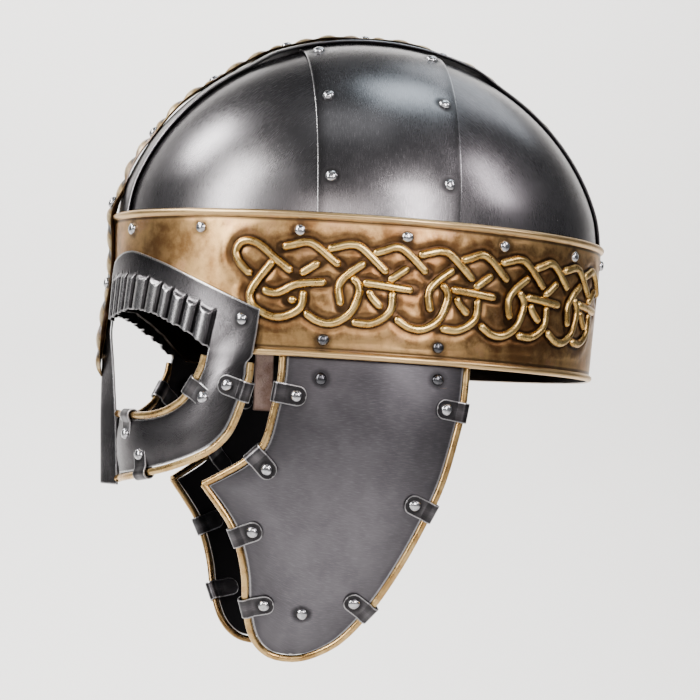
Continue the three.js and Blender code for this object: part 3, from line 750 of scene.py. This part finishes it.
# the strip's face, from its lower edge to its upper: height, how far out, and bead or groove
BEAD_HIGH, TOP = BROW.bead_high, BROW.height
beads = [(BEAD_HIGH * t, BROW.bead * math.sin(math.pi * t) ** 0.6, -1.0 if 0.05 < t < 0.95 else -0.3)
         for t in np.linspace(0, 1, 9)]
beads += [(BEAD_HIGH + 0.0003, -0.0002, 1.0), (BEAD_HIGH + 0.0009, -0.0001, 0.8)]
face = np.linspace(BEAD_HIGH + 0.0004, TOP - BEAD_HIGH - 0.0004, 66)[2:-2]
profile = beads + [(z, 0.0, 0.0) for z in face] + [(TOP - z, out, mark) for z, out, mark in beads[::-1]]
COLUMNS = 660
around = np.linspace(-math.pi, math.pi, COLUMNS, endpoint=False)
distance = np.interp(np.abs(around), turn, band_run)
cut = np.interp(np.abs(around) * EYE_RADIUS, *zip(*EYE_ARCH))
heights, outs, marks = (np.repeat(np.array(line)[:, None], COLUMNS, 1) for line in zip(*profile))
heights = np.where(heights < TOP / 2, heights + cut * (1 - heights / (TOP / 2)), heights)
low_rows = len(profile) // 2
outs[:low_rows] *= cut < 0.0002              # no bead where the strip is cut away
marks[:low_rows] *= cut < 0.0002
away = stroke_distance(np.broadcast_to(distance, heights.shape), heights)
waver = 0.00012 * np.sin(distance * 190) * np.sin(heights * 120)
groove = 0.00035 * (np.exp(-((away - 0.0055) / 0.0028) ** 2) - np.exp(-((away - 0.0026) / 0.0009) ** 2))
outer = on_band(around, heights, outs + (waver + groove) * (outs == 0))
inner = on_band(around, np.stack([TOP - 0.0004 + 0 * cut, 0.0004 + cut]), -BROW.sheet)
ring = np.concatenate([outer, inner])
index = np.arange(ring.shape[0] * COLUMNS).reshape(-1, COLUMNS)
wrapped = np.roll(index, -1, axis=1)
down, down_next = np.roll(index, -1, axis=0), np.roll(wrapped, -1, axis=0)
faces = np.stack([index, wrapped, down_next, down], -1).reshape(-1, 4).tolist()
faces = facing_out(ring.reshape(-1, 3), faces)
piece = new_piece("brow_band_strip", ring, faces, band_brass, ["brow_band"])
# painted shade: the band's face behind the eye guards is marked to be painted near black, as is its inner
# face
shaded_behind_guards = (cut > 0) * smooth(cut + 0.007 - heights, 0, 0.003)    # behind the eye guards
for name, outside, behind in (("stroke", away, CLEAR), ("bead", marks, 0), ("inside", shaded_behind_guards, 1)):
    keep(piece, name, np.concatenate([outside.ravel(), np.full(2 * COLUMNS, behind)]))
mark_heads(piece, upper_rivets + lower_rivets)
piece.data.set_sharp_from_angle(angle=math.radians(55))
rivet_heads("brow_band_rivets", upper_rivets)
rivet_heads("brow_band_lower_rivets", lower_rivets, blackened)


def rods(name, paths, width, rise, material, nodes, sides, rounded=True, bury=0.0):
    """Rods along lines of points and their normals, flattened to a width and a rise."""
    points, faces, level = [], [], []
    for path, up in paths:
        run = run_along(path)
        side = unit(np.cross(unit(np.gradient(path, axis=0)), up))
        first, rows = len(points), len(path)
        cap = np.ones(rows)
        if rounded:
            from_end = np.clip(np.minimum(run, run[-1] - run) / width, 0, 1)
            cap = np.sqrt(np.clip(1 - (1 - from_end) ** 2, 0.02, 1))
        for row in range(rows):
            for k in range(sides):
                angle = math.tau * k / sides
                points.append(path[row] + side[row] * width * cap[row] * math.cos(angle)
                              + up[row] * (rise * cap[row] * math.sin(angle) - bury))
                level.append(math.sin(angle))
        for start in range(first, first + (rows - 1) * sides, sides):
            for k in range(sides):
                a, b = start + k, start + (k + 1) % sides
                faces.append((a, b, b + sides, a + sides))
        faces.append([first + k for k in range(sides)][::-1])
        faces.append([first + (rows - 1) * sides + k for k in range(sides)])
    piece = new_piece(name, points, faces, material, nodes)
    work = bmesh.new()
    work.from_mesh(piece.data)
    bmesh.ops.recalc_face_normals(work, faces=work.faces)
    work.to_mesh(piece.data)
    work.free()
    keep(piece, "rise", level)
    piece.data.set_sharp_from_angle(angle=math.radians(60))
    return piece


relief_brass, shader = new_material("interlace_brass")
place = in_place()
patch, grime, fine = noise(place, 30, 4), noise(place, 240, 5, 0.65), noise(place, 1300, 3)
rise = stored("rise")
tone = blended(ramped(patch * 0.6 + grime * 0.4, 0.38, 0.62), (0.5, 0.285, 0.078), (0.82, 0.54, 0.175))
# painted light: the rods' sides and undersides painted dark as shade, and a painted highlight along their
# tops
tone = blended(ramped(rise + (grime - 0.5) * 0.5, 0.62, 0.1), tone, (0.05, 0.028, 0.014))
tone = blended(ramped(rise + (grime - 0.5) * 0.4, 0.86, 1.0) * 0.6, tone, (0.95, 0.72, 0.33))
dress(shader, tone, 0.19 + grime * 0.14 + fine * 0.05, grime + fine * 0.15, 0.35, 0.0003)
paths = [band_seat(line[:, 0], line[:, 1], side) for line in lines for side in (1, -1)]
rods("interlace", paths, STROKE_HALF, STROKE_RISE, relief_brass, (), sides=14, bury=0.0001)


# ---- Eye guards ----
# A plate of iron goes round each eye: a broad eyebrow fluted with a hammer over a stake, and a
# narrower arm under the eye to the nose. It is riveted to the brow band behind the eye.
FACE = Sizes(a=0.1173, rise=0.016, fall=0.06, set_back=0.005, nose_width=0.035, under_nose=0.0014)


def on_face(s, z):
    a = FACE.a + z * np.where(z > 0, FACE.rise, FACE.fall)
    angle = s / EYE_RADIUS
    x = a * WIDTH_RATIO * np.sin(angle)
    back_by = FACE.set_back * np.exp(-(x / FACE.nose_width) ** 2) * (1 - smooth(z, -0.006, 0.012))
    under_nose = FACE.under_nose * (1 - smooth(np.abs(x), 0.014, 0.02)) * (1 - smooth(z, -0.006, 0.006))
    return joined(x, CENTRE_Y - a * np.cos(angle) + back_by + under_nose, z + FOOT)


def off_surface(surface, p, z, lift=0.0):
    """Points over a surface, along its outward normal."""
    p, z = np.asarray(p, float), np.asarray(z, float)
    step = 0.0005
    normal = unit(np.cross(surface(p + step, z) - surface(p - step, z),
                           surface(p, z + step) - surface(p, z - step)))
    normal = normal * np.where(normal[..., :1] < 0, -1, 1)
    return surface(p, z) + normal * np.asarray(lift)[..., None], normal


# lines on the unrolled face: the run from the nose and the height over the band's lower edge, in mm
brow_lower = in_mm([(15, 13.5), (28, 16.3), (43, 18.5), (53, 17.7), (63.5, 15.9), (72, 12.8), (80, 9.8),
                    (87, 6.3), (94.5, 1.5)])
brow_upper = in_mm([(15, 34), (19, 40.5), (28, 44), (38, 45.2), (47, 44.2), (66.5, 39.2), (84, 33),
                    (99, 27.2), (118, 19.8)])
inner_wire = in_mm([(92.4, -1.5), (90.3, -8), (83.1, -19.3), (76.5, -24.2), (67.2, -27.7), (53.5, -29.5),
                    (31, -29.5), (17.5, -29)])
outer_wire = in_mm([(115, -3.8), (114.4, -11), (112, -20), (106.5, -33.7), (98.8, -41.9), (89, -47),
                    (78.5, -50.6), (68.2, -53.2), (52.7, -55.8), (36, -57.6), (17.5, -59)])
WIRE_RADIUS = 0.00175


def set_over(points, amount):
    """The same line moved to its left-hand side."""
    along = unit(np.gradient(points, axis=0))
    return points + np.stack([-along[:, 1], along[:, 0]], -1) * amount


edge_room = WIRE_RADIUS + 0.0002
lower_inner = np.vstack([brow_lower[-1:], set_over(inner_wire, edge_room)[1:-1], in_mm([(9.5, -30.6)])])
lower_outer = np.vstack([
    brow_upper[-1:], in_mm([(117.4, 12), (116.6, 5), (115.7, -0.6), (114.4, -2.6), (113, -4.6)]),
    set_over(outer_wire, -edge_room)[1:-1], in_mm([(9.5, -57)])])
creases = in_mm([(19.5, 34.6), (25.2, 36), (31.5, 36.7), (38.2, 36.5), (46, 35.8), (56.8, 34.2),
                 (66.2, 31.4), (73.2, 28.9), (81.3, 25.2), (88.4, 22.8), (96.7, 19.1)])
LEAN, SWELL, CREASE = 0.0035, 0.0016, 0.0009


def flutes(s, z):
    """The height of the fluting over the eyebrow, and the light and shade painted on it: lit swells with a
    dark crease between.
    """
    low = np.interp(s, brow_lower[:, 0], brow_lower[:, 1])
    high = np.interp(s, creases[:, 0], creases[:, 1])
    upright = s + LEAN * np.clip((high - z) / np.maximum(high - low, 0.001), 0, 1)
    part = np.interp(upright, creases[:, 0], np.arange(len(creases))) % 1
    nearest = np.abs(upright[..., None] - creases[:, 0]).min(-1)
    fluted = (upright > creases[0, 0]) & (upright < creases[-1, 0])
    swell = np.where(fluted, 4 * part * (1 - part), 0)
    crease = np.exp(-(nearest / 0.0008) ** 2)
    inside = smooth(high - 0.0014 * swell - z, -0.0003, 0.0024)
    # painted light: swells lighter, creases darker
    shade = 0.8 * swell * fluted - 1.7 * crease
    return (SWELL * swell ** 0.9 - CREASE * crease) * inside, shade * inside


BROW_COLUMNS, ARM_COLUMNS = 340, 110
FRILL, ARM_DISH = 0.00025, 0.0014           # the eyebrow's uneven hem, and the arm's soft rounding
upper = (spline(brow_lower, BROW_COLUMNS), spline(brow_upper, BROW_COLUMNS))
lower = (spline(lower_inner, ARM_COLUMNS), spline(lower_outer, ARM_COLUMNS))
inside_line = np.vstack([upper[0], lower[0][1:]])
outside_line = np.vstack([upper[1], lower[1][1:]])
share = np.linspace(0, 1, 45)[:, None, None]
flat = inside_line * (1 - share) + outside_line * share
column = np.arange(flat.shape[1])
on_brow = column < BROW_COLUMNS
height, shade = (part * on_brow for part in flutes(flat[..., 0], flat[..., 1]))
frill = FRILL * np.sin(flat[..., 0] * 1900) * np.exp(-share[..., 0] / 0.03) * on_brow
dish = ARM_DISH * np.sin(np.pi * share[..., 0]) * smooth(column, BROW_COLUMNS, BROW_COLUMNS + 25)
grid, _ = off_surface(on_face, flat[..., 0], flat[..., 1] + frill, height + dish)
guard_iron = iron_finish("guard_iron", (0.11, 0.103, 0.108), (0.185, 0.175, 0.183), (0.66, 0.65, 0.66), 0.27,
                         depth=0.06, shaded=0.01, fluted=True)
corner = [off_surface(on_face, 0.11, 0.0152)]
piece = sheet_piece("eye_guard_left", grid, SHEET, guard_iron, ["ocular_left"], heads=corner)
# the fluting's painted light and shade, kept as rise for the iron's colour
keep(piece, "rise", np.concatenate([shade.ravel(), 0 * shade.ravel()]))
mirror(piece)
mirror(rivet_heads("eye_guard_rivet_left", corner))


# ---- Nose guard ----
# A long iron plate folded to a shallow ridge comes down from behind the rope strip's tip over the
# nose. The two eye guards lie against its back.
# height, half width, and how far forward its sides and its ridge stand, in mm
sections = in_mm([(26, 9, -114.6, -116.3), (15, 9, -114.6, -117), (7, 11.4, -114.8, -118),
                  (-6, 12, -113, -117.4), (-18, 12.5, -111.5, -117), (-32, 13, -109.8, -116.4),
                  (-47, 13.5, -108.5, -115.4), (-62, 14, -107.4, -114.4)])
height, half, sides_y, ridge_y = spline(sections, 80).T[..., None]
share = np.linspace(-1, 1, 33)
fold = np.sqrt(share ** 2 + 0.012) - math.sqrt(0.012)
grid = joined(half * share, ridge_y + (sides_y - ridge_y) * fold, height + FOOT)
sheet_piece("nose_guard_plate", grid, SHEET, guard_iron, ["nose_guard"])


# ---- Edge wires ----
# Brass wire 3.5 mm thick is split along one side and pressed over the edge of the eye guards and
# the cheek plates. Its cut ends stand free.
CHEEK = Sizes(half_width=0.096, half_length=0.113, curl=2.2)


def on_cheek(y, z):
    width = CHEEK.half_width - CHEEK.curl * z ** 2
    return joined(width * np.sqrt(1 - ((y - CENTRE_Y) / CHEEK.half_length) ** 2), y, z + FOOT)


wire_brass, shader = new_material("wire_brass")
place = in_place()
streak, grime, fine = noise(place, 60, 3), noise(place, 260, 3, 0.5), noise(place, 1800, 2)
tone = blended(ramped(streak * 0.6 + grime * 0.4, 0.38, 0.62), (0.52, 0.305, 0.11), (0.85, 0.58, 0.25))
tone = blended(ramped(grime, 0.56, 0.74) * 0.22, tone, (0.26, 0.14, 0.05))
# painted shade: the wire's inward side, towards the plate, painted dark
tone = blended(ramped(stored("rise"), 0.35, -0.55) * 0.75, tone, (0.12, 0.07, 0.034))
dress(shader, tone, 0.19 + grime * 0.18, grime + fine * 0.2, 0.06, 0.0002)


def edge_wire(name, surface, edges, nodes):
    paths, radius = [], WIRE_RADIUS - 0.0001
    for edge in edges:
        flat = spline(edge, int(length_of(edge) / 0.0016))
        paths.append(off_surface(surface, flat[:, 0], flat[:, 1], -SHEET / 2))
    mirror(rods(name, paths, radius, radius, wire_brass, nodes, sides=16, rounded=False))


edge_wire("eye_inner_edging_left", on_face, [inner_wire], ["ocular_inner_wire_left"])
edge_wire("eye_outer_edging_left", on_face, [outer_wire], ["ocular_outer_wire_left"])


# ---- Cheek plates ----
# A pear-shaped iron plate hangs at each side and curls in towards the jaw. Its front comes to a
# point, and the brass wire goes right round it, mitred at that point.
# the wire's line: how far back and the height over the band's lower edge, in mm
cheek_front = in_mm([(-45, 2), (-45.2, -10), (-47, -23), (-50.4, -39.5), (-57.7, -47.5), (-65.3, -53),
                     (-73.9, -58.7)])
cheek_lower = in_mm([(-73.9, -58.7), (-66.5, -68), (-60.2, -77), (-55.6, -88), (-52.6, -99), (-50.6, -112),
                     (-46.2, -125.5), (-38.5, -133.3), (-28, -135.3), (-18, -132.8), (-6.5, -125),
                     (5, -109.5), (15, -90.5), (23.4, -71), (30, -53), (34.4, -33), (37, -17), (37.8, 2)])
LOWEST, CHEEK_ROWS = 8, 130                  # the lowest point's place in that line
tip = in_mm([(-71.4, -59.1)])
fore_edge = np.vstack([set_over(cheek_front, edge_room)[:-1], tip])
jaw_edge = np.vstack([tip, set_over(cheek_lower, edge_room)[1:LOWEST + 1]])
aft_edge = set_over(cheek_lower, edge_room)[LOWEST:][::-1]
fore_length, jaw_length = length_of(spline(fore_edge, 300)), length_of(spline(jaw_edge, 300))
fore_rows = int(round(CHEEK_ROWS * fore_length / (fore_length + jaw_length)))
fore = np.vstack([spline(fore_edge, fore_rows + 1), spline(jaw_edge, CHEEK_ROWS - fore_rows + 1)[1:]])
share = np.linspace(0, 1, 61)[:, None, None]
flat = fore * (1 - share) + spline(aft_edge, CHEEK_ROWS + 1) * share
flat = flat[:, :-1]                          # the two edges meet at the lowest point
strap_rivets = [off_surface(on_cheek, y, z) for y, z in in_mm([(-28.2, -9), (24, -6)])]
jaw_rivet = [off_surface(on_cheek, -0.0256, -0.114)]
grid, _ = off_surface(on_cheek, flat[..., 0], flat[..., 1])
cheek_iron = iron_finish("cheek_iron", (0.135, 0.128, 0.14), (0.205, 0.195, 0.211), (0.46, 0.45, 0.46), 0.35,
                         shaded=0.022)
mirror(sheet_piece("cheek_sheet_left", grid, SHEET, cheek_iron, ["cheek_plate_left"],
                   heads=strap_rivets + jaw_rivet))
mirror(rivet_heads("cheek_rivets_left", jaw_rivet))
mirror(rivet_heads("cheek_strap_rivets_left", strap_rivets, blackened))
edge_wire("cheek_edging_left", on_cheek, [cheek_front, cheek_lower], ["cheek_wire_left"])


# ---- Clips ----
# Strips of dark iron 9 mm wide are bent round the wire and closed on both faces of the plate.
# Each has rounded ends and one rivet through both leaves.
CLIP = Sizes(half=0.0045, leaf=0.013, leaf_end=0.0032, thick=0.0009, inside=0.00085, rivet=0.0085)
clip_iron = iron_finish("clip_iron", (0.095, 0.09, 0.095), (0.165, 0.157, 0.164),
                        (0.56, 0.55, 0.56), 0.31, worn_glint_width=0.0007)
fold_radius = WIRE_RADIUS + 0.0003 + CLIP.thick
leaf_out = CLIP.inside + CLIP.thick
bend = np.linspace(math.radians(62), math.radians(298), 25)
arc_part = np.stack([fold_radius * np.cos(bend), fold_radius * np.sin(bend)], -1)
top_part = np.stack([np.linspace(CLIP.leaf, CLIP.leaf_end, 26), np.full(26, leaf_out)], -1)
clip_path = spline(np.vstack([top_part, arc_part, (top_part * [1, -1])[::-1]]), 110)


def clip_grid(surface, line, distance, side):
    """One clip's outer face, its rivet's seat and normal, and a point between its leaves."""
    fine = spline(line, 600)
    at = distance / length_of(fine) * (len(fine) - 1)
    low = int(at)
    point = fine[low] + (fine[low + 1] - fine[low]) * (at - low)
    along = unit(fine[low + 1] - fine[low])
    to_plate = np.array([-along[1], along[0]]) * side
    start, _ = off_surface(surface, *point, -SHEET / 2)
    _, normal = off_surface(surface, *(point + to_plate * CLIP.rivet / 2))
    reach, _ = off_surface(surface, *(point + to_plate * CLIP.leaf), -SHEET / 2)
    inward = reach - start
    inward = unit(inward - normal * (inward @ normal))
    width = np.cross(inward, normal)
    rounded = np.clip(1 - (np.clip(clip_path[:, 0] - (CLIP.leaf - CLIP.half), 0, None)
                           / CLIP.half) ** 2.4, 0.02, 1) ** 0.5
    sideways = (CLIP.half * rounded)[:, None] * np.linspace(-1, 1, 15)
    points = (start + clip_path[:, None, :1] * inward + clip_path[:, None, 1:] * normal
              + sideways[..., None] * width)
    seat = start + inward * CLIP.rivet + normal * leaf_out
    return points, seat, normal, start + inward * CLIP.leaf / 2


def clip_set(word, node_word, surface, places):
    """Clips along edges, each at its run along the edge, on the side where the plate lies."""
    for number, (line, distance, side) in enumerate(places, 1):
        points, seat, normal, core = clip_grid(surface, line, distance, side)
        heads = [(seat, normal)]
        mirror(sheet_piece(f"{word}_clip_strip_left_{number}", points, CLIP.thick, clip_iron,
                           [f"{node_word}_clip_left_{number}"], core, 0.0002, heads))
        mirror(rivet_heads(f"{word}_clip_rivet_left_{number}", heads))


clip_set("eye", "ocular", on_face, [
    (inner_wire, 0.0155, 1), (inner_wire, 0.068, 1), (outer_wire, 0.013, -1), (outer_wire, 0.09, -1)])
clip_set("cheek", "cheek", on_cheek, [
    (cheek_front, 0.018, 1), (cheek_front, 0.0475, 1), (cheek_lower, 0.0275, 1), (cheek_lower, 0.06, 1),
    (cheek_lower, 0.1365, 1), (cheek_lower, 0.1885, 1), (cheek_lower, 0.235, 1)])


# ---- Straps ----
# Two short straps of brown leather hang each cheek plate. They are riveted to its inner face and
# to the inner face of the brow band, and bend between the two.
STRAP = Sizes(half=0.0048, thick=0.0016)
leather, shader = new_material("strap_leather")
place = in_place()
pores, wear = noise(place, 900, 5, 0.7), noise(place, 110, 4)
cracks = Link.node("ShaderNodeTexVoronoi", {"feature": "DISTANCE_TO_EDGE"}, {"Vector": place, "Scale": 620})
tone = blended(ramped(wear, 0.36, 0.64), (0.33, 0.2, 0.155), (0.62, 0.43, 0.36))
tone = blended(ramped(pores, 0.56, 0.72) * 0.5, tone, (0.045, 0.022, 0.014))
tone = blended(ramped(stored("edge"), 0.0009, 0.0002) * 0.6, tone, (0.04, 0.02, 0.012))
dress(shader, tone, 0.62 + wear * 0.2, ramped(cracks, 0.0, 0.12) * 0.6 + pores * 0.5, 0.6, 0.0004, 0.0)


def strap_grid(y, end):
    """The strap's outer face: up the cheek plate, over the bend and up the brow band."""
    low, _ = off_surface(on_cheek, y, np.linspace(end, -0.009, 8), -SHEET - GAP)
    angle = math.asin(on_cheek(np.array(y), np.array(0.0))[0] / (BROW.foot * WIDTH_RATIO))
    high = on_band(angle, np.linspace(0.006, 0.014, 4), -BROW.sheet - GAP)
    high[:, 1] = y
    sideways = STRAP.half * np.linspace(-1, 1, 9)[:, None] * np.array([0, 1, 0])
    return spline(np.vstack([low, high]), 40)[:, None] + sideways


for word, y, end in (("front", -0.0282, -0.022), ("back", 0.024, -0.012)):
    mirror(sheet_piece(f"cheek_strap_leather_left_{word}", strap_grid(y, end), STRAP.thick, leather,
                       [f"cheek_strap_left_{word}"], round_edge=0.0004))
